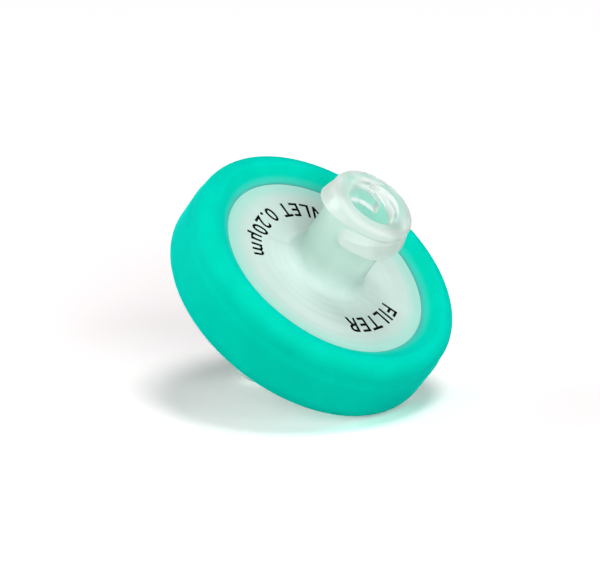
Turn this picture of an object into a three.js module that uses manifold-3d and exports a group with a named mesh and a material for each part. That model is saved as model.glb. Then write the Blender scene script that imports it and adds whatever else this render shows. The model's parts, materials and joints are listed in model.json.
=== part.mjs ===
// Overmoulded 17 mm syringe filter: two translucent housing halves clamp a membrane disc, and a
// coloured ring is moulded round their rims. The inlet is a female luer lock, the outlet a male
// luer slip. The filter is drawn upright on its own axis, then laid down as it comes to rest.
import * as THREE from 'three';
import { mergeVertices } from 'three/addons/utils/BufferGeometryUtils.js';
import Module from 'manifold-3d';

const wasm = await Module();
wasm.setup();

// ---- driving dimensions, in millimetres, heights from the middle of the ring ----
const FACETS = 48;                  // sides of every turned surface
const MOULD_GAP = 0.25;             // clearance between pieces that touch in the real filter
const SHORTEST_EDGE = 0.003;        // slivers left by the lugs' cuts are joined up to this length

// membrane
const MEMBRANE_RADIUS = 8.5;
const MEMBRANE_THICKNESS = 0.15;
const MEMBRANE_POCKET_GAP = 0.25;   // round the membrane's edge

// housing halves, alike above and below the membrane
const CLAMP_WIDTH = 0.7;            // edge of the membrane held between the halves
const CHAMBER_DEPTH = 0.35;         // space on each side of the membrane
const SEAM_GAP = 0.25;              // between the two flanges
const FLANGE_HEIGHT = 0.75;         // thin outer flange, above the parting plane
const FLANGE_STEP_WIDTH = 1.15;     // width of that thin part
const WINDOW_MARGIN = 0.3;          // uncovered window beyond the membrane's edge
const WINDOW_RECESS = 1.13;         // window face below the ring's crown

// overmoulded ring
const RING_HEIGHT = 6.3;
const RING_WALL = 1.72;             // outside the flange
const RING_LIP_COVER = 0.25;        // over the thick part of the housing
const RING_UPPER_INSET = 0.1;       // upper bead inside the lower one
const RING_WAIST_INSET = 0.22;      // shallow waist under the upper bead
const RING_EDGE_RADIUS = 1.4;       // round edge from crown to side wall, both ends
const RING_LIP_ANGLE = 31;          // degrees, slope from the crown down to the window
const RING_LIP_ROUND = 0.6;         // rounding between the crown and that slope
const RING_BEAD_DEPTH = 2.35;       // from the top crown down to the end of the upper bead
const RING_BEAD_STEP = 0.2;         // height of the step in from the bead to the waist

// flow ribs under the inlet, support rings and drains over the outlet
const RIB_COUNT = 8;
const RIB_WIDTH = 0.55;
const RIB_START_GAP = 1.2;          // from the inlet bore's edge
const RIB_END_GAP = 0.6;            // from the chamber's wall
const SUPPORT_RING_COUNT = 4;
const SUPPORT_RING_WIDTH = 0.7;
const DRAIN_COUNT = 8;
const DRAIN_WIDTH = 0.8;

// inlet: female luer lock
const HUB_HEIGHT = 7.65;            // rim above the window face
const HUB_WALL = 0.8;               // neck outside the socket's mouth
const HUB_RIM_OUTSET = 0.6;         // rim outside the neck
const HUB_RIM_HEIGHT = 0.9;
const HUB_BASE_FILLET = 0.95;
const SOCKET_RADIUS = 2.15;         // female cone at its mouth
const SOCKET_DEPTH = 7.4;
const SOCKET_CHAMFER = 0.4;
const LUER_TAPER = 0.03;            // change of radius per unit of length
const INLET_BORE_RADIUS = 1.0;      // from the socket's floor into the chamber
const LUG_HEIGHT = 0.95;            // crest of the two locking lugs, out from the neck
const LUG_LEAD = 5.0;               // rise of the lugs in one turn
const LUG_ARC = 240;                // degrees covered by each lug
const LUG_TURN = 90;                // degrees from the leaning side to the low end of the first lug
const LUG_CREST = 1.45;             // before the lugs are cut level
const LUG_FLANK = 0.35;             // height of each sloping flank, from the neck to the crest
const LUG_START_HEIGHT = 0.4;       // crest left at the low end by the level cut
const LUG_BASE_DEPTH = 2.55;        // level underside of the lugs, below the rim
const LUG_SHOULDER_DEPTH = 1.8;     // where the crest starts to slope in towards the rim
const LUG_TOP_DEPTH = 0.25;
const LUG_TOP_INSET = 0.1;          // top of that slope, inside the rim's wall

// outlet: male luer slip
const TIP_LENGTH = 7.5;             // cone beyond the ring's lower crown
const TIP_RADIUS = 1.98;            // at the tip's end
const TIP_EDGE_RADIUS = 0.3;
const OUTLET_BORE_RADIUS = 1.1;
const COLLAR_WIDTH = 0.9;           // step round the cone's root
const COLLAR_HEIGHT = 0.9;

// ---- radii, from the membrane outwards ----
const CHAMBER_RADIUS = MEMBRANE_RADIUS - CLAMP_WIDTH;
const POCKET_RADIUS = MEMBRANE_RADIUS + MEMBRANE_POCKET_GAP;
const WINDOW_RADIUS = MEMBRANE_RADIUS + WINDOW_MARGIN;
const FLANGE_STEP_RADIUS = WINDOW_RADIUS + RING_LIP_COVER;
const FLANGE_RADIUS = FLANGE_STEP_RADIUS + FLANGE_STEP_WIDTH;
const RING_LOWER_RADIUS = FLANGE_RADIUS + RING_WALL;
const RING_UPPER_RADIUS = RING_LOWER_RADIUS - RING_UPPER_INSET;
const RING_WAIST_RADIUS = RING_LOWER_RADIUS - RING_WAIST_INSET;
const HUB_NECK_RADIUS = SOCKET_RADIUS + HUB_WALL;
const HUB_RIM_RADIUS = HUB_NECK_RADIUS + HUB_RIM_OUTSET;
const TIP_ROOT_RADIUS = TIP_RADIUS + LUER_TAPER * TIP_LENGTH;

// ---- heights ----
const CROWN_Z = RING_HEIGHT / 2;
const WINDOW_Z = CROWN_Z - WINDOW_RECESS;
const FLANGE_FACE_Z = SEAM_GAP / 2;
const CLAMP_Z = MEMBRANE_THICKNESS / 2 + MOULD_GAP;
const CEILING_Z = CLAMP_Z + CHAMBER_DEPTH;
const RIM_Z = WINDOW_Z + HUB_HEIGHT;
const SOCKET_FLOOR_Z = RIM_Z - SOCKET_DEPTH;
const TIP_Z = -CROWN_Z - TIP_LENGTH;

const rad = THREE.MathUtils.degToRad;

// ---- materials ----
const ringPlastic = new THREE.MeshStandardMaterial({ color: 0x00d2b0, roughness: 0.42 });
const clearPlastic = new THREE.MeshStandardMaterial({ color: 0xdce6df, roughness: 0.3 });
const membraneMaterial = new THREE.MeshStandardMaterial({ color: 0xf4f4f0, roughness: 0.9 });

// ---- shape helpers ----
// Points on an arc about (cx, cz), angles in degrees from the outward direction.
function arc(cx, cz, radius, from, to, steps = 6) {
  const points = [];
  for (let i = 0; i <= steps; i++) {
    const angle = rad(from + (to - from) * i / steps);
    points.push([cx + radius * Math.cos(angle), cz + radius * Math.sin(angle)]);
  }
  return points;
}

// A turned solid from a closed outline of [radius, height] points, in anticlockwise order.
function revolve(outline) {
  const points = outline.map(([r, z]) => new THREE.Vector2(r, z));
  points.push(points[0].clone());
  const geometry = new THREE.LatheGeometry(points, FACETS, Math.PI / FACETS);
  geometry.rotateX(Math.PI / 2);
  return geometry;
}

// The same outline turned over, for what is alike above and below the parting plane.
function flipped(outline) {
  return outline.map(([r, z]) => [r, -z]).reverse();
}

function toSolid(geometry) {
  const bare = geometry.clone();
  bare.deleteAttribute('normal');
  bare.deleteAttribute('uv');
  const merged = mergeVertices(bare, 1e-3);
  const mesh = new wasm.Mesh({
    numProp: 3,
    vertProperties: new Float32Array(merged.attributes.position.array),
    triVerts: new Uint32Array(merged.index.array),
  });
  return new wasm.Manifold(mesh);
}

function toGeometry(solid) {
  const mesh = solid.getMesh();
  const geometry = new THREE.BufferGeometry();
  geometry.setAttribute('position', new THREE.BufferAttribute(mesh.vertProperties, 3));
  geometry.setIndex(new THREE.BufferAttribute(mesh.triVerts, 1));
  geometry.computeVertexNormals();
  return geometry;
}

// A bar that runs outwards from the axis.
function radialBar(inner, outer, width, low, high, turn) {
  const bar = new THREE.BoxGeometry(outer - inner, width, high - low);
  bar.translate((inner + outer) / 2, 0, (low + high) / 2);
  bar.rotateZ(turn);
  return toSolid(bar);
}

// One locking lug: a sector of a turned ridge, raised steadily along its arc. Its underside is cut
// level, and its crest slopes in until it ends inside the rim.
function lug(turn) {
  const root = (SOCKET_RADIUS + HUB_NECK_RADIUS) / 2;
  const crest = HUB_NECK_RADIUS + LUG_HEIGHT;
  const flank = LUG_FLANK * (crest - root) / LUG_HEIGHT;
  const height = LUG_CREST + 2 * flank;
  const halfArc = rad(LUG_ARC) / 2;
  const ridge = toSolid(revolve([
    [root, 0],
    [crest, flank],
    [crest, flank + LUG_CREST],
    [root, height],
  ]));
  const slice = new THREE.Shape();
  slice.moveTo(0, 0);
  slice.absarc(0, 0, 2 * crest, -halfArc, halfArc, false);
  const wedge = new THREE.ExtrudeGeometry(slice, { depth: height, bevelEnabled: false });
  const geometry = toGeometry(ridge.intersect(toSolid(wedge)));
  const position = geometry.attributes.position;
  for (let i = 0; i < position.count; i++) {
    const along = halfArc + Math.atan2(position.getY(i), position.getX(i));
    position.setZ(i, position.getZ(i) + LUG_LEAD * along / (2 * Math.PI));
  }
  geometry.translate(0, 0, RIM_Z - LUG_BASE_DEPTH + LUG_START_HEIGHT - flank - LUG_CREST);
  const envelope = toSolid(revolve([
    [0, RIM_Z - LUG_BASE_DEPTH],
    [crest, RIM_Z - LUG_BASE_DEPTH],
    [crest, RIM_Z - LUG_SHOULDER_DEPTH],
    [HUB_RIM_RADIUS - LUG_TOP_INSET, RIM_Z - LUG_TOP_DEPTH],
    [0, RIM_Z - LUG_TOP_DEPTH],
  ]));
  const level = toGeometry(toSolid(geometry).intersect(envelope));
  level.rotateZ(turn + halfArc);
  return toSolid(level);
}

// ---- pieces ----
// The round edge of a bead, its crown and the start of the slope down to the window.
function beadOutline(radius) {
  const across = radius - RING_EDGE_RADIUS;
  const edge = arc(across, CROWN_Z - RING_EDGE_RADIUS, RING_EDGE_RADIUS, 0, 90);
  const lip = arc(across, CROWN_Z - RING_LIP_ROUND, RING_LIP_ROUND, 90, 90 + RING_LIP_ANGLE, 3);
  return [...edge, ...lip.slice(1)];
}

function ringOutline() {
  const lipFace = WINDOW_Z + MOULD_GAP;
  const stepFace = FLANGE_HEIGHT + MOULD_GAP;
  const rebate = [
    [WINDOW_RADIUS, lipFace],
    [FLANGE_STEP_RADIUS + MOULD_GAP, lipFace],
    [FLANGE_STEP_RADIUS + MOULD_GAP, stepFace],
    [FLANGE_RADIUS + MOULD_GAP, stepFace],
  ];
  const beadEnd = CROWN_Z - RING_BEAD_DEPTH;
  return [
    ...flipped(beadOutline(RING_LOWER_RADIUS)),
    [RING_WAIST_RADIUS, beadEnd - RING_BEAD_STEP],
    [RING_UPPER_RADIUS, beadEnd],
    ...beadOutline(RING_UPPER_RADIUS),
    ...rebate,
    ...flipped(rebate),
  ];
}

// Half of the housing's rim, from the parting plane's clamp face out and up to the window face.
function rimOutline() {
  return [
    [CHAMBER_RADIUS, CEILING_Z],
    [CHAMBER_RADIUS, CLAMP_Z],
    [POCKET_RADIUS, CLAMP_Z],
    [POCKET_RADIUS, FLANGE_FACE_Z],
    [FLANGE_RADIUS, FLANGE_FACE_Z],
    [FLANGE_RADIUS, FLANGE_HEIGHT],
    [FLANGE_STEP_RADIUS, FLANGE_HEIGHT],
    [FLANGE_STEP_RADIUS, WINDOW_Z],
  ];
}

function inletHousing() {
  const socketFloorRadius = SOCKET_RADIUS - LUER_TAPER * SOCKET_DEPTH;
  const neckFoot = WINDOW_Z + HUB_BASE_FILLET;
  const body = toSolid(revolve([
    [INLET_BORE_RADIUS, CEILING_Z],
    ...rimOutline(),
    ...arc(HUB_NECK_RADIUS + HUB_BASE_FILLET, neckFoot, HUB_BASE_FILLET, 270, 180, 4),
    [HUB_NECK_RADIUS, RIM_Z - HUB_RIM_HEIGHT],
    [HUB_RIM_RADIUS, RIM_Z - HUB_RIM_HEIGHT],
    [HUB_RIM_RADIUS, RIM_Z],
    [SOCKET_RADIUS + SOCKET_CHAMFER, RIM_Z],
    [SOCKET_RADIUS, RIM_Z - SOCKET_CHAMFER],
    [socketFloorRadius, SOCKET_FLOOR_Z],
    [INLET_BORE_RADIUS, SOCKET_FLOOR_Z],
  ]));
  const lugs = lug(rad(LUG_TURN)).add(lug(rad(LUG_TURN + 180)));
  let solid = body.add(lugs).simplify(SHORTEST_EDGE);
  for (let i = 0; i < RIB_COUNT; i++) {
    const turn = i * 2 * Math.PI / RIB_COUNT;
    const rib = radialBar(INLET_BORE_RADIUS + RIB_START_GAP, CHAMBER_RADIUS - RIB_END_GAP, RIB_WIDTH,
      CLAMP_Z, CEILING_Z + CHAMBER_DEPTH, turn);
    solid = solid.add(rib);
  }
  return toGeometry(solid);
}

// Concentric rings that hold the membrane up, evenly spaced from the bore to the chamber's wall.
function supportRings() {
  const free = CHAMBER_RADIUS - OUTLET_BORE_RADIUS - SUPPORT_RING_COUNT * SUPPORT_RING_WIDTH;
  const channel = free / (SUPPORT_RING_COUNT + 1);
  const outline = [];
  let inner = OUTLET_BORE_RADIUS + channel;
  for (let i = 0; i < SUPPORT_RING_COUNT; i++) {
    const outer = inner + SUPPORT_RING_WIDTH;
    outline.push([inner, CEILING_Z], [inner, CLAMP_Z], [outer, CLAMP_Z], [outer, CEILING_Z]);
    inner = outer + channel;
  }
  return outline;
}

function outletHousing() {
  const tipEdge = arc(TIP_RADIUS - TIP_EDGE_RADIUS, -TIP_Z - TIP_EDGE_RADIUS, TIP_EDGE_RADIUS, 0, 90, 3);
  let solid = toSolid(revolve(flipped([
    [OUTLET_BORE_RADIUS, CEILING_Z],
    ...supportRings(),
    ...rimOutline(),
    [TIP_ROOT_RADIUS + COLLAR_WIDTH, WINDOW_Z],
    [TIP_ROOT_RADIUS + COLLAR_WIDTH, WINDOW_Z + COLLAR_HEIGHT],
    [TIP_ROOT_RADIUS, WINDOW_Z + COLLAR_HEIGHT],
    ...tipEdge,
    [OUTLET_BORE_RADIUS, -TIP_Z],
  ])));
  for (let i = 0; i < DRAIN_COUNT; i++) {
    const turn = (i + 0.5) * 2 * Math.PI / DRAIN_COUNT;
    const drain = radialBar(0, CHAMBER_RADIUS - CHAMBER_DEPTH, DRAIN_WIDTH, -CEILING_Z, 0, turn);
    solid = solid.subtract(drain);
  }
  return toGeometry(solid);
}

function membraneDisc() {
  const disc = new THREE.CylinderGeometry(MEMBRANE_RADIUS, MEMBRANE_RADIUS, MEMBRANE_THICKNESS,
    FACETS, 1, false, Math.PI / FACETS);
  disc.rotateX(Math.PI / 2);
  return disc;
}

// ---- the filter on its own axis, inlet up ----
function piece(name, geometry, material) {
  const mesh = new THREE.Mesh(geometry, material);
  mesh.name = name;
  return mesh;
}

const filter = new THREE.Group();
filter.add(piece('inlet_housing', inletHousing(), clearPlastic));
filter.add(piece('membrane', membraneDisc(), membraneMaterial));
filter.add(piece('outlet_housing', outletHousing(), clearPlastic));
filter.add(piece('overmould_ring', revolve(ringOutline()), ringPlastic));

// ---- laid down: it leans on the ring's lower edge and on the rounded end of the outlet tip ----
// The surface is the common tangent of two rounds, in the plane through the middle of a facet.
function restingTilt() {
  const facetMiddle = Math.cos(Math.PI / FACETS);
  const ringRound = [(RING_LOWER_RADIUS - RING_EDGE_RADIUS) * facetMiddle, RING_EDGE_RADIUS - CROWN_Z];
  const tipRound = [(TIP_RADIUS - TIP_EDGE_RADIUS) * facetMiddle, TIP_Z + TIP_EDGE_RADIUS];
  const across = ringRound[0] - tipRound[0];
  const along = ringRound[1] - tipRound[1];
  const lean = Math.asin((RING_EDGE_RADIUS - TIP_EDGE_RADIUS) / Math.hypot(across, along));
  return Math.atan2(along, across) - lean;
}

filter.rotation.y = restingTilt();

// origin on the surface, under the middle of the filter
filter.updateMatrixWorld(true);
const box = new THREE.Box3().setFromObject(filter, true);
const centre = box.getCenter(new THREE.Vector3());
filter.position.set(-centre.x, -centre.y, -box.min.z);

const part = new THREE.Group();
part.add(filter);

export default part;
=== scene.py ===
"""Looks of an overmoulded syringe filter: a translucent two-part housing with its luer fittings,
the membrane inside it, the coloured ring moulded round it and the printing on the inlet side.

Every piece is turned upright in millimetres about the filter's own axis, inlet up, and then laid
down where the frame says that the filter rests."""
import json
import math

import bmesh
import bpy
from mathutils import Matrix, Vector


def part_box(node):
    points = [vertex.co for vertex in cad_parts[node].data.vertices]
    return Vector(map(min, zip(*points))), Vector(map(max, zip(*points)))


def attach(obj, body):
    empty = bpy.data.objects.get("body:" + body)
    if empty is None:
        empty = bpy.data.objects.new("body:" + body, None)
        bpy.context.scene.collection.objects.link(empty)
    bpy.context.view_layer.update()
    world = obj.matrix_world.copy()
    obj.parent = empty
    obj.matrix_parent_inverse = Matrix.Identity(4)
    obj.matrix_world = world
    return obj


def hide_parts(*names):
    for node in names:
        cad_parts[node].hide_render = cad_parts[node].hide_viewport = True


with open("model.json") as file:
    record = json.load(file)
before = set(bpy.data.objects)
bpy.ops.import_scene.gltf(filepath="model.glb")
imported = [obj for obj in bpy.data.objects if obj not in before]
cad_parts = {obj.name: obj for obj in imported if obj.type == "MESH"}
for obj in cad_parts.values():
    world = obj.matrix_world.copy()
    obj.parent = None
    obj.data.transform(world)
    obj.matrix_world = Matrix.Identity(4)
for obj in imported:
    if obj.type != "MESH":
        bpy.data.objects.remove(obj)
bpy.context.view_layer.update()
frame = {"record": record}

# ---- where the filter lies, from the frame ----
MM = 0.001
MOUNTS = {mount["name"]: mount for mount in frame["record"]["mounts"]}
AXIS = Vector(MOUNTS["inlet_rim"]["axis"])
LEVEL = Vector((0, 1, 0))
LEANING = LEVEL.cross(AXIS)
membrane_low, membrane_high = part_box("membrane")
MIDDLE = (membrane_low + membrane_high) / 2
LAID = (
    Matrix.Translation(MIDDLE)
    @ Matrix((LEANING, LEVEL, AXIS)).transposed().to_4x4()
    @ Matrix.Scale(MM, 4)
)


def mount_height(name):
    """Height of a mount's face above the membrane, along the filter's axis, in millimetres."""
    return (Vector(MOUNTS[name]["pos_m"]) - MIDDLE).dot(AXIS) / MM


def node_radius(node):
    """Radius of a turned node, in millimetres."""
    low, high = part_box(node)
    return (high.y - low.y) / 2 / MM


# ---- sizes in millimetres, heights from the middle of the membrane ----
RIM_Z = mount_height("inlet_rim")
TIP_Z = mount_height("outlet_tip_end")
BOX_MARGIN = 0.035          # keeps the round ring inside the frame's box
RING_RADIUS = node_radius("overmould_ring") - BOX_MARGIN
FLANGE_RADIUS = node_radius("inlet_housing")
MEMBRANE_RADIUS = node_radius("membrane")

CROWN_Z = 3.15
WINDOW_Z = 2.02
WINDOW_RADIUS = 8.8
RING_EDGE_ROUND = 1.4
RING_BEAD_RADIUS = RING_RADIUS - 0.14
RING_BEAD_END_Z = 1.3
RING_BEAD_ROUND = 0.6
RING_LEDGE_RADIUS = RING_RADIUS - 0.01
RING_LEDGE_Z = 0.8
RING_BELLY_Z = -1.6
CROWN_RADIUS = 10.3
MOULD_BITE = 0.02           # the ring reaches this far into the housing, so no gap shows
THICK_RADIUS = 9.05
FLANGE_HEIGHT = 0.75

CHAMBER_RADIUS = 7.8
CEILING_Z = 0.675
CLAMP_Z = 0.325
POCKET_RADIUS = 8.75
PARTING_Z = 0.01            # the two halves almost meet at the middle
MEMBRANE_HALF = 0.075
RIB_COUNT = 8
RIB_WIDTH = 0.55
RIB_INNER_RADIUS = 2.2
RIB_OUTER_RADIUS = 7.2
RIB_ROOT_Z = 1.0            # inside the roof that the ribs hang from
SUPPORT_RING_COUNT = 4
SUPPORT_RING_WIDTH = 0.7
DRAIN_COUNT = 8
DRAIN_WIDTH = 0.8
DRAIN_INNER_RADIUS = 0.66
DRAIN_OUTER_RADIUS = 7.475
DRAIN_TOP_Z = 0.1625        # clear of the tops of the support rings

HUB_RIM_RADIUS = 3.55
HUB_RIM_HEIGHT = 0.9
HUB_RIM_ROUND = 0.4
HUB_NECK_RADIUS = 2.95
HUB_FOOT_ROUND = 0.95
SOCKET_RADIUS = 2.15
SOCKET_MOUTH_ROUND = 0.4
SOCKET_DEPTH = 7.4
LUER_TAPER = 0.03
INLET_BORE_RADIUS = 1.0
LUG_ROOT_RADIUS = 2.55
LUG_CREST_RADIUS = 3.9
LUG_FLANK = 0.35
LUG_CREST = 1.45
LUG_START_HEIGHT = 0.4
LUG_BASE_Z = RIM_Z - 2.55
LUG_SHOULDER_Z = RIM_Z - 1.8
LUG_TOP_Z = RIM_Z - 0.45
LUG_TOP_RADIUS = HUB_RIM_RADIUS - 0.1
LUG_LEAD = 5.0
LUG_ARC = math.radians(240)
LUG_TURN = math.radians(90)
LUG_RUN_IN = math.radians(22)
LUG_CREST_ROUND = 0.15
LUG_LEAST_SHARE = 0.02      # of its height, left at the low end
SOFT_CUT = 0.04             # rounding where a lug is cut level

TIP_RADIUS = 1.96
TIP_ROUND = 0.3
TIP_ROOT_RADIUS = 2.205
OUTLET_BORE_RADIUS = 1.1
COLLAR_RADIUS = 3.105
COLLAR_HEIGHT = 0.9

LIP_ROUND = 0.04            # roundings of moulded edges, from the sharpest to the softest
FINE_ROUND = 0.05
SMALL_ROUND = 0.1
STEP_ROUND = 0.15
SOFT_ROUND = 0.5

TURN_STEPS = 192
LONGEST_EDGE = 0.7
SHARP_ANGLE = math.radians(32)


# ---- mesh helpers ----
def finished(bm, name, material, node=None):
    """The mesh becomes a piece, laid down with the rest of the filter."""
    bmesh.ops.remove_doubles(bm, verts=bm.verts, dist=1e-5)
    bmesh.ops.recalc_face_normals(bm, faces=bm.faces)
    return laid_piece(mesh_of(bm, name), name, material, node)


def mesh_of(bm, name):
    mesh = bpy.data.meshes.new(name)
    bm.to_mesh(mesh)
    bm.free()
    return mesh


def laid_piece(mesh, name, material, node=None):
    mesh.transform(LAID)
    for face in mesh.polygons:
        face.use_smooth = True
    mesh.set_sharp_from_angle(angle=SHARP_ANGLE)
    mesh.materials.clear()
    mesh.materials.append(material)
    piece = bpy.data.objects.new(name, mesh)
    bpy.context.scene.collection.objects.link(piece)
    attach(piece, "root")
    if node:
        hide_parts(node)
    return piece


def round_corner(bm, corner, radius):
    """Rounds one corner of a wire outline with a bevel, so that the arc has that radius."""
    before, after = (edge.other_vert(corner).co - corner.co for edge in corner.link_edges)
    half_corner = before.angle(after) / 2
    bmesh.ops.bevel(
        bm, geom=[corner], offset=radius / math.tan(half_corner), offset_type="OFFSET",
        segments=max(4, round(8 * radius ** 0.5)), profile=0.5, affect="VERTICES", material=-1,
    )


def outline(bm, corners):
    """A closed wire through corners of (radius, height) or (radius, height, rounding)."""
    verts = [bm.verts.new((corner[0], 0, corner[1])) for corner in corners]
    for start, end in zip(verts, verts[1:] + verts[:1]):
        bm.edges.new((start, end))
    for vert, corner in zip(verts, corners):
        if len(corner) == 3:
            round_corner(bm, vert, corner[2])
    for edge in list(bm.edges):
        cuts = int(edge.calc_length() / LONGEST_EDGE)
        if cuts:
            bmesh.ops.subdivide_edges(bm, edges=[edge], cuts=cuts)


def spin_round(bm):
    """Turns a wire outline all the way round the axis."""
    bmesh.ops.spin(
        bm, geom=bm.verts[:] + bm.edges[:], cent=(0, 0, 0), axis=(0, 0, 1), dvec=(0, 0, 0),
        angle=2 * math.pi, steps=TURN_STEPS, use_merge=True, use_duplicate=False,
    )


def turned(corners):
    """A ring-shaped solid from a closed outline that keeps off the axis."""
    bm = bmesh.new()
    outline(bm, corners)
    spin_round(bm)
    bmesh.ops.recalc_face_normals(bm, faces=bm.faces)
    return bm


def spokes(bm, count, inner, outer, width, low, high, offset=0.0):
    """Straight bars that run outwards, evenly spaced round the axis."""
    for index in range(count):
        turn = Matrix.Rotation((index + offset) * 2 * math.pi / count, 4, "Z")
        size = Matrix.Diagonal((outer - inner, width, high - low, 1))
        place = Matrix.Translation(((inner + outer) / 2, 0, (low + high) / 2))
        bmesh.ops.create_cube(bm, size=1, matrix=turn @ place @ size)


def combined(body, tool, operation):
    """The body with the tool joined to it or cut from it, as a mesh."""
    objects = []
    for bm in (body, tool):
        mesh = mesh_of(bm, "part")
        objects.append(bpy.data.objects.new("part", mesh))
        bpy.context.scene.collection.objects.link(objects[-1])
    boolean = objects[0].modifiers.new("boolean", "BOOLEAN")
    boolean.operation = operation
    boolean.solver = "EXACT"
    boolean.object = objects[1]
    evaluated = objects[0].evaluated_get(bpy.context.evaluated_depsgraph_get())
    mesh = bpy.data.meshes.new_from_object(evaluated)
    for obj in objects:
        bpy.data.objects.remove(obj)
    return mesh


# ---- material helpers ----
class Value:
    """A number in a material. Sums and products of values add the nodes that work them out."""

    def __init__(self, paint, socket):
        self.paint = paint
        self.socket = socket

    def maths(self, operation, first, second):
        return self.paint.node("ShaderNodeMath", {"operation": operation}, {0: first, 1: second})

    def __add__(self, other):
        return self.maths("ADD", self, other)

    def __radd__(self, other):
        return self.maths("ADD", other, self)

    def __sub__(self, other):
        return self.maths("SUBTRACT", self, other)

    def __rsub__(self, other):
        return self.maths("SUBTRACT", other, self)

    def __mul__(self, other):
        return self.maths("MULTIPLY", self, other)

    def __rmul__(self, other):
        return self.maths("MULTIPLY", other, self)

    def __pow__(self, other):
        return self.maths("POWER", self, other)


class Paint:
    """The nodes of one material or of the world."""

    def __init__(self, owner):
        owner.use_nodes = True
        self.owner = owner
        self.tree = owner.node_tree
        self.tree.nodes.clear()

    def node(self, kind, settings=None, sockets=None, out=0):
        """Adds a node, with its settings and then the values or links of its sockets."""
        made = self.tree.nodes.new(kind)
        for name, value in (settings or {}).items():
            setattr(made, name, value)
        for name, value in (sockets or {}).items():
            if isinstance(value, Value):
                self.tree.links.new(value.socket, made.inputs[name])
            else:
                made.inputs[name].default_value = value
        return Value(self, made.outputs[out]) if made.outputs else None

    def upright(self):
        """Object coordinates turned back to the upright filter, in millimetres."""
        place = self.node("ShaderNodeTexCoord", out="Object")
        turn = LAID.to_euler()
        return self.node(
            "ShaderNodeMapping", {"vector_type": "TEXTURE"},
            {"Vector": place, "Location": MIDDLE, "Rotation": turn, "Scale": (MM, MM, MM)},
        )

    def split(self, vector):
        """The three parts of a vector."""
        parts = self.node("ShaderNodeSeparateXYZ", sockets={0: vector}).socket.node
        return [Value(self, output) for output in parts.outputs]

    def noise(self, vector, scale, detail):
        return self.node(
            "ShaderNodeTexNoise", sockets={"Vector": vector, "Scale": scale, "Detail": detail},
        )

    def bumps(self, height, strength, distance):
        """A Normal for a surface that rises and falls with the height."""
        return self.node("ShaderNodeBump", sockets={
            "Strength": strength, "Distance": distance, "Height": height,
        })

    def between(self, value, low, high, start=0.0, end=1.0):
        """Runs smoothly from start to end as the value goes from low to high."""
        return self.node(
            "ShaderNodeMapRange", {"interpolation_type": "SMOOTHSTEP"},
            {"Value": value, "From Min": low, "From Max": high, "To Min": start, "To Max": end},
        )

    def mixed(self, factor, first, second):
        """A colour between two colours."""
        return self.node(
            "ShaderNodeMix", {"data_type": "RGBA"}, {0: factor, 6: first, 7: second}, out=2,
        )

    def blend(self, factor, first, second):
        """A shader between two shaders."""
        return self.node("ShaderNodeMixShader", sockets={0: factor, 1: first, 2: second})

    def seen_rays(self):
        """1 for what is seen, by itself or in gloss or clear plastic, and 0 for other light."""
        rays = self.node("ShaderNodeLightPath").socket.node
        kinds = ("Is Camera Ray", "Is Glossy Ray", "Is Transmission Ray")
        camera, glossy, through = (Value(self, rays.outputs[kind]) for kind in kinds)
        return self.node(
            "ShaderNodeMath", {"operation": "MINIMUM"}, {0: camera + glossy + through, 1: 1.0},
        )

    def surface(self, shader):
        self.node("ShaderNodeOutputMaterial", sockets={"Surface": shader})
        return self.owner


def new_paint(name):
    return Paint(bpy.data.materials.new(name))


# ---- materials ----
def ring_plastic():
    """Cloudy coloured plastic with a soft sheen in its own colour. Next to the windows it turns
    paler:
    partly the thin lip's own lighter colour, partly painted light shining through and glancing off
    it."""
    paint = new_paint("ring_plastic")
    place = paint.upright()
    grain = paint.noise(place, 9.0, 3.0)
    cloud = paint.noise(place, 0.35, 2.0)
    tint = paint.between(cloud, 0.3, 0.7)
    colour = paint.mixed(tint, (0.0, 0.71, 0.53, 1), (0.0, 0.75, 0.565, 1))
    x, y, _ = paint.split(place)
    radius = (x * x + y * y) ** 0.5
    # painted light: paler towards the window edge, standing for light through and off the thin lip,
    # besides the lip's own lighter colour
    thin = paint.between(radius, WINDOW_RADIUS - 0.1, WINDOW_RADIUS + 0.8, 0.14, 0.0)
    colour = paint.mixed(thin, colour, (0.75, 0.9, 0.84, 1))
    bump = paint.bumps(grain, 0.05, 0.0001)
    body = paint.node("ShaderNodeBsdfPrincipled", sockets={
        "Base Color": colour, "Roughness": 0.5, "Specular IOR Level": 0.0,
        "Subsurface Weight": 1.0, "Subsurface Radius": (0.2, 1.0, 0.8),
        "Subsurface Scale": 0.0015, "Normal": bump,
    })
    sheen = paint.node("ShaderNodeBsdfGlossy", sockets={
        "Color": (0.03, 1.0, 0.8, 1), "Roughness": 0.4, "Normal": bump,
    })
    edge = paint.node("ShaderNodeFresnel", sockets={"IOR": 1.3, "Normal": bump})
    return paint.surface(paint.blend(edge * 0.5, body, sheen))


def milky(paint, colour, through, bump):
    """Plastic that scatters all of its light, a part of it through to the far side."""
    near = paint.node("ShaderNodeBsdfDiffuse", sockets={"Color": colour, "Normal": bump})
    far = paint.node("ShaderNodeBsdfTranslucent", sockets={"Color": colour, "Normal": bump})
    return paint.blend(through, near, far)


HUB_HAZE = 0.66             # on the side towards -Y, and then on the side towards +Y
HUB_HAZE_FAR = 0.26
HUB_HAZE_REACH = 1.5
WINDOW_HAZE = 0.88
MILK_TINT = 0.31
LUG_TINT_LOSS = 0.26


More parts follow.
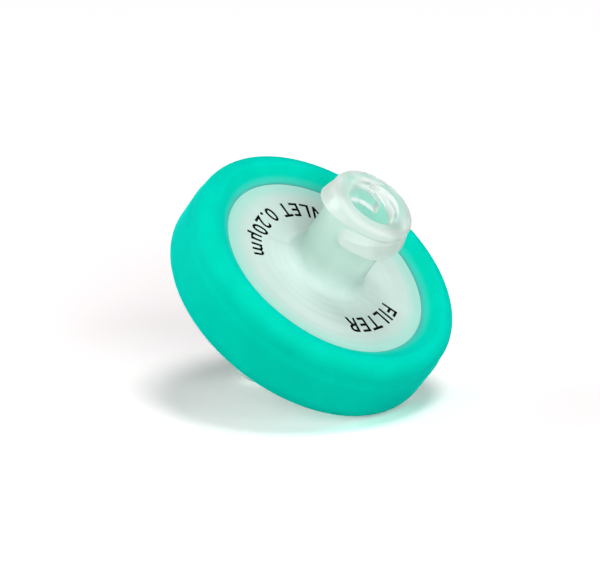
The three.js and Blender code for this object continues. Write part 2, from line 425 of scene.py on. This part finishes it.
def housing_plastic():
    """Clear plastic with a milky haze that lets light through from behind, with a painted teal glow
    next to the ring that stands for the ring's light showing in the window. Faint rings and spokes
    run over the window."""
    paint = new_paint("housing_plastic")
    place = paint.upright()
    x, y, z = paint.split(place)
    radius = (x * x + y * y) ** 0.5
    window = paint.between(z, 2.5, 4.5, 1.0, 0.0) * paint.between(z, -4.0, -2.5)
    around = paint.node("ShaderNodeVectorMath", {"operation": "NORMALIZE"}, {0: place})
    rings = paint.noise(paint.node("ShaderNodeCombineXYZ", sockets={0: radius}), 0.9, 1.0)
    rays = paint.noise(around, 3.0, 1.0)
    waves = paint.noise(place, 5.0, 2.0) * 0.02 + window * (rings * 0.65 + rays * 0.9)
    bump = paint.bumps(waves, 0.6, 0.0004)
    clear = paint.node("ShaderNodeBsdfPrincipled", sockets={
        "Base Color": (0.97, 0.995, 0.985, 1), "Roughness": 0.14, "IOR": 1.49,
        "Transmission Weight": 1.0, "Normal": bump,
    })
    lugs = paint.between(radius, 2.9, 3.1) * (1 - window)
    through = 0.45 - window * 0.35 - lugs * 0.15
    white = milky(paint, (0.97, 0.99, 0.96, 1), through, bump)
    green = milky(paint, (0.52, 1.0, 0.88, 1), through, bump)
    # painted light: the window turns greener towards the ring, standing for teal light from the
    # ring
    painted_ring_glow = paint.between(radius, 7.0, WINDOW_RADIUS + 0.1, 0.0, 0.6)
    tint = window * painted_ring_glow + MILK_TINT - lugs * LUG_TINT_LOSS
    milk = paint.blend(tint, white, green)
    hub = paint.between(y, -HUB_HAZE_REACH, HUB_HAZE_REACH, HUB_HAZE, HUB_HAZE_FAR)
    haze = window * WINDOW_HAZE + (1 - window) * hub
    return paint.surface(paint.blend(haze, clear, milk))


def membrane_sheet():
    """Matt white sheet with a fine porous grain."""
    paint = new_paint("membrane_sheet")
    place = paint.upright()
    weave = paint.noise(place, 14.0, 4.0)
    tone = paint.between(weave, 0.3, 0.7)
    colour = paint.mixed(tone, (0.86, 0.93, 0.89, 1), (0.92, 0.97, 0.94, 1))
    bump = paint.bumps(weave, 0.2, 0.00005)
    return paint.surface(paint.node("ShaderNodeBsdfPrincipled", sockets={
        "Base Color": colour, "Roughness": 0.9, "Normal": bump,
    }))


def printing_ink():
    """Black ink, a little thinner in places."""
    paint = new_paint("printing_ink")
    place = paint.upright()
    thin = paint.noise(place, 6.0, 3.0)
    tone = paint.between(thin, 0.45, 0.8)
    colour = paint.mixed(tone, (0.004, 0.004, 0.005, 1), (0.02, 0.022, 0.022, 1))
    return paint.surface(paint.node("ShaderNodeBsdfPrincipled", sockets={
        "Base Color": colour, "Roughness": 0.9, "Specular IOR Level": 0.0,
    }))


RING_PLASTIC = ring_plastic()
HOUSING_PLASTIC = housing_plastic()
MEMBRANE_SHEET = membrane_sheet()
PRINTING_INK = printing_ink()


# ---- the coloured ring ----
def overmould_ring():
    """Round edges, a soft ledge round the side wall, and lips that slope down to the windows."""
    lip_z = WINDOW_Z - MOULD_BITE
    step_z = FLANGE_HEIGHT - MOULD_BITE
    thick_radius = THICK_RADIUS - MOULD_BITE
    flange_radius = FLANGE_RADIUS - MOULD_BITE
    bm = turned([
        (WINDOW_RADIUS, lip_z, LIP_ROUND),
        (CROWN_RADIUS, CROWN_Z, SOFT_ROUND),
        (RING_BEAD_RADIUS, CROWN_Z, RING_EDGE_ROUND),
        (RING_BEAD_RADIUS, RING_BEAD_END_Z, RING_BEAD_ROUND),
        (RING_LEDGE_RADIUS, RING_LEDGE_Z, SOFT_ROUND),
        (RING_RADIUS, RING_BELLY_Z, SOFT_ROUND),
        (RING_RADIUS, -CROWN_Z, RING_EDGE_ROUND),
        (CROWN_RADIUS, -CROWN_Z, SOFT_ROUND),
        (WINDOW_RADIUS, -lip_z, LIP_ROUND),
        (thick_radius, -lip_z),
        (thick_radius, -step_z),
        (flange_radius, -step_z),
        (flange_radius, step_z),
        (thick_radius, step_z),
        (thick_radius, lip_z),
    ])
    return finished(bm, "moulded_ring", RING_PLASTIC, "overmould_ring")


# ---- the housing ----
def rim_corners():
    """A housing half from its chamber's roof out, down to the parting face and up to the window."""
    return [
        (CHAMBER_RADIUS, CEILING_Z, 0.12),
        (CHAMBER_RADIUS, CLAMP_Z, 0.03),
        (POCKET_RADIUS, CLAMP_Z),
        (POCKET_RADIUS, PARTING_Z),
        (FLANGE_RADIUS, PARTING_Z),
        (FLANGE_RADIUS, FLANGE_HEIGHT, FINE_ROUND),
        (THICK_RADIUS, FLANGE_HEIGHT),
        (THICK_RADIUS, WINDOW_Z),
    ]


def softly_above(value, limit):
    """A value that is bent over softly where it would pass below its limit."""
    over = value - limit
    return limit + (over + math.hypot(over, 2 * SOFT_CUT)) / 2


def softly_below(value, limit):
    """A value that is bent over softly where it would pass above its limit."""
    return -softly_above(-value, -limit)


def locking_lug(bm, turn):
    """A ridge that climbs round the neck from a smooth low end. Its underside is level, and its
    crest slopes in until it ends inside the rim."""
    flank = LUG_FLANK * (LUG_CREST_RADIUS - LUG_ROOT_RADIUS) / (LUG_CREST_RADIUS - HUB_NECK_RADIUS)
    ridge = bmesh.new()
    outline(ridge, [
        (LUG_ROOT_RADIUS, 0),
        (LUG_CREST_RADIUS, flank, LUG_CREST_ROUND),
        (LUG_CREST_RADIUS, flank + LUG_CREST, LUG_CREST_ROUND),
        (LUG_ROOT_RADIUS, LUG_CREST + 2 * flank),
    ])
    bmesh.ops.contextual_create(ridge, geom=ridge.edges[:])
    steps = round(TURN_STEPS * LUG_ARC / (2 * math.pi))
    bmesh.ops.spin(
        ridge, geom=ridge.faces[:] + ridge.edges[:] + ridge.verts[:], cent=(0, 0, 0),
        axis=(0, 0, 1), dvec=(0, 0, 0), angle=LUG_ARC, steps=steps, use_duplicate=False,
    )
    bmesh.ops.rotate(ridge, verts=ridge.verts, cent=(0, 0, 0),
                     matrix=Matrix.Rotation(-LUG_ARC / 2, 3, "Z"))
    start_z = LUG_BASE_Z + LUG_START_HEIGHT - flank - LUG_CREST
    slope = (LUG_CREST_RADIUS - LUG_TOP_RADIUS) / (LUG_TOP_Z - LUG_SHOULDER_Z)
    for vert in ridge.verts:
        along = LUG_ARC / 2 + math.atan2(vert.co.y, vert.co.x)
        raised = start_z + vert.co.z + LUG_LEAD * along / (2 * math.pi)
        vert.co.z = softly_below(softly_above(raised, LUG_BASE_Z), LUG_TOP_Z)
        radius = math.hypot(vert.co.x, vert.co.y)
        share = max(LUG_LEAST_SHARE, smooth_share(along / LUG_RUN_IN))
        kept = LUG_ROOT_RADIUS + (radius - LUG_ROOT_RADIUS) * share
        widest = LUG_CREST_RADIUS - slope * (vert.co.z - LUG_SHOULDER_Z)
        kept = softly_below(kept, max(widest, LUG_TOP_RADIUS))
        vert.co.x *= kept / radius
        vert.co.y *= kept / radius
    bmesh.ops.rotate(ridge, verts=ridge.verts, cent=(0, 0, 0),
                     matrix=Matrix.Rotation(turn + LUG_ARC / 2, 3, "Z"))
    bmesh.ops.recalc_face_normals(ridge, faces=ridge.faces)
    mesh = mesh_of(ridge, "lug")
    bm.from_mesh(mesh)
    bpy.data.meshes.remove(mesh)


def smooth_share(value):
    """Runs smoothly from 0 to 1 as the value does, and stays there outside them."""
    value = min(1.0, max(0.0, value))
    return value * value * (3 - 2 * value)


def inlet_housing():
    """Upper half with its flow ribs, and the female luer hub with two locking lugs."""
    socket_floor_z = RIM_Z - SOCKET_DEPTH
    body = turned([
        (INLET_BORE_RADIUS, CEILING_Z, SMALL_ROUND),
        *rim_corners(),
        (HUB_NECK_RADIUS, WINDOW_Z, HUB_FOOT_ROUND),
        (HUB_NECK_RADIUS, RIM_Z - HUB_RIM_HEIGHT, SMALL_ROUND),
        (HUB_RIM_RADIUS, RIM_Z - HUB_RIM_HEIGHT, 0.12),
        (HUB_RIM_RADIUS, RIM_Z, HUB_RIM_ROUND),
        (SOCKET_RADIUS, RIM_Z, SOCKET_MOUTH_ROUND),
        (SOCKET_RADIUS - LUER_TAPER * SOCKET_DEPTH, socket_floor_z, SMALL_ROUND),
        (INLET_BORE_RADIUS, socket_floor_z, SMALL_ROUND),
    ])
    extras = bmesh.new()
    locking_lug(extras, LUG_TURN)
    locking_lug(extras, LUG_TURN + math.pi)
    spokes(extras, RIB_COUNT, RIB_INNER_RADIUS, RIB_OUTER_RADIUS, RIB_WIDTH,
           CLAMP_Z, RIB_ROOT_Z)
    mesh = combined(body, extras, "UNION")
    return laid_piece(mesh, "inlet_half", HOUSING_PLASTIC, "inlet_housing")


def support_rings():
    """Corners of the rings that hold the membrane up, from the bore outwards."""
    free = CHAMBER_RADIUS - OUTLET_BORE_RADIUS - SUPPORT_RING_COUNT * SUPPORT_RING_WIDTH
    channel = free / (SUPPORT_RING_COUNT + 1)
    corners = []
    inner = OUTLET_BORE_RADIUS + channel
    for _ in range(SUPPORT_RING_COUNT):
        outer = inner + SUPPORT_RING_WIDTH
        corners += [
            (inner, CEILING_Z), (inner, CLAMP_Z, FINE_ROUND),
            (outer, CLAMP_Z, FINE_ROUND), (outer, CEILING_Z),
        ]
        inner = outer + channel
    return corners


def outlet_housing():
    """Lower half with its support rings and drains, and the male luer slip tip."""
    upper = [
        (OUTLET_BORE_RADIUS, CEILING_Z),
        *support_rings(),
        *rim_corners(),
        (COLLAR_RADIUS, WINDOW_Z, 0.2),
        (COLLAR_RADIUS, WINDOW_Z + COLLAR_HEIGHT, STEP_ROUND),
        (TIP_ROOT_RADIUS, WINDOW_Z + COLLAR_HEIGHT, STEP_ROUND),
        (TIP_RADIUS, -TIP_Z, TIP_ROUND),
        (OUTLET_BORE_RADIUS, -TIP_Z, SMALL_ROUND),
    ]
    body = turned([(corner[0], -corner[1], *corner[2:]) for corner in upper])
    drains = bmesh.new()
    spokes(drains, DRAIN_COUNT, DRAIN_INNER_RADIUS, DRAIN_OUTER_RADIUS, DRAIN_WIDTH,
           -CEILING_Z, -DRAIN_TOP_Z, offset=0.5)
    mesh = combined(body, drains, "DIFFERENCE")
    return laid_piece(mesh, "outlet_half", HOUSING_PLASTIC, "outlet_housing")


def membrane_disc():
    """A thin flat disc, closed at its middle."""
    bm = bmesh.new()
    outline(bm, [
        (0, -MEMBRANE_HALF), (MEMBRANE_RADIUS, -MEMBRANE_HALF, 0.03),
        (MEMBRANE_RADIUS, MEMBRANE_HALF, 0.03), (0, MEMBRANE_HALF),
    ])
    axis_edges = [e for e in bm.edges if all(abs(v.co.x) < 1e-6 for v in e.verts)]
    bmesh.ops.delete(bm, geom=axis_edges, context="EDGES")
    spin_round(bm)
    return finished(bm, "membrane_disc", MEMBRANE_SHEET, "membrane")


# ---- printing ----
LETTER_HEIGHT = 1.42
LETTER_WIDTH = 0.9
LETTER_STROKE = 0.012
LETTER_SPACING = 1.15
INK_THICKNESS = 0.012
INK_LIFT = 0.4 * INK_THICKNESS


def printed_arc(name, words, foot_radius, start, outwards):
    """Words printed round the window. They read clockwise with their tops outwards, or the
    other way round with their tops inwards."""
    text = bpy.data.curves.new(name, "FONT")
    text.body = words
    text.offset = LETTER_STROKE
    text.extrude = 0.5
    text.resolution_u = 3
    text.space_character = LETTER_SPACING
    text.align_x = "LEFT" if outwards else "RIGHT"
    flat = bpy.data.objects.new(name, text)
    bpy.context.scene.collection.objects.link(flat)
    evaluated = flat.evaluated_get(bpy.context.evaluated_depsgraph_get())
    mesh = bpy.data.meshes.new_from_object(evaluated)
    bpy.data.objects.remove(flat)
    size = LETTER_HEIGHT / max(vert.co.y for vert in mesh.vertices)
    side = 1 if outwards else -1
    middle_radius = foot_radius + side * LETTER_HEIGHT / 2
    for vert in mesh.vertices:
        across, up, depth = vert.co
        angle = start - side * across * size * LETTER_WIDTH / middle_radius
        radius = foot_radius + side * up * size
        vert.co = (radius * math.cos(angle), radius * math.sin(angle),
                   WINDOW_Z + depth * INK_THICKNESS + INK_LIFT)
    return laid_piece(mesh, name, PRINTING_INK)


overmould_ring()
inlet_housing()
outlet_housing()
membrane_disc()
printed_arc("print_rating", "INLET 0.20µm", 6.78, math.radians(246), outwards=False)
printed_arc("print_name", "FILTER", 5.42, math.radians(31), outwards=True)


# ---- floor, light and camera ----
FLOOR_RADIUS = 4.0
FLOOR_GAIN = 1.64           # where it is seen, so that it is white in the low light
FLOOR_SEEN = (1.06 * FLOOR_GAIN, FLOOR_GAIN, 1.01 * FLOOR_GAIN, 1)
FLOOR_BOUNCE = (0.42, 0.42, 0.42, 1)
AMBIENT = 0.03
LAMP_DISTANCE = 2.5
LAMPS = [                   # name, azimuth, elevation, share of plain light, width
    ("key_light", 324, 12, 0.57, 1.4),
    ("side_light", 350, 30, 0.18, 1.2),
    ("front_light", 280, 26, 0.12, 1.2),
    ("left_light", 212, 12, 0.5, 1.4),
    ("top_light", 10, 78, 0.31, 1.0),
]
CAMERA_PLACE = (0.110662, -0.135686, 0.054042)
CAMERA_LOOKS_DOWN = 14.423
CAMERA_TURN = 39.550
CAMERA_LENS = 134.87


def floor():
    """Plain pale paper, which keeps the shadow."""
    bm = bmesh.new()
    bmesh.ops.create_circle(bm, cap_ends=True, radius=FLOOR_RADIUS, segments=96)
    ground = bpy.data.objects.new("floor", mesh_of(bm, "floor"))
    bpy.context.scene.collection.objects.link(ground)
    paint = new_paint("floor_paper")
    colour = paint.mixed(paint.seen_rays(), FLOOR_BOUNCE, FLOOR_SEEN)
    shader = paint.node("ShaderNodeBsdfDiffuse", sockets={"Color": colour})
    ground.data.materials.append(paint.surface(shader))


def lamp(name, azimuth, elevation, share, width):
    """A round soft light that looks at the filter. Its share is the part of plain light that it
    gives to a surface that faces it."""
    light = bpy.data.lights.new(name, "AREA")
    light.shape = "DISK"
    light.size = width
    light.energy = share * (math.pi * LAMP_DISTANCE) ** 2
    a, e = math.radians(azimuth), math.radians(elevation)
    towards = Vector((math.cos(a) * math.cos(e), math.sin(a) * math.cos(e), math.sin(e)))
    lit = bpy.data.objects.new(name, light)
    lit.location = MIDDLE + towards * LAMP_DISTANCE
    lit.rotation_euler = towards.to_track_quat("Z", "Y").to_euler()
    bpy.context.scene.collection.objects.link(lit)


def surroundings():
    """A plain white room: dim as a light, white where it is seen."""
    world = bpy.data.worlds.new("white_room")
    bpy.context.scene.world = world
    paint = Paint(world)
    strength = paint.seen_rays() * (1 - AMBIENT) + AMBIENT
    shader = paint.node(
        "ShaderNodeBackground", sockets={"Color": (1, 1, 1, 1), "Strength": strength},
    )
    paint.node("ShaderNodeOutputWorld", sockets={"Surface": shader})


def camera():
    data = bpy.data.cameras.new("camera")
    data.sensor_width = 36
    data.lens = CAMERA_LENS
    data.clip_start = 0.01
    data.clip_end = 20
    view = bpy.data.objects.new("camera", data)
    view.location = CAMERA_PLACE
    view.rotation_euler = (
        math.radians(90 - CAMERA_LOOKS_DOWN), 0, math.radians(CAMERA_TURN),
    )
    bpy.context.scene.collection.objects.link(view)
    bpy.context.scene.camera = view


floor()
for settings in LAMPS:
    lamp(*settings)
surroundings()
camera()
bpy.context.scene.view_settings.view_transform = "Standard"
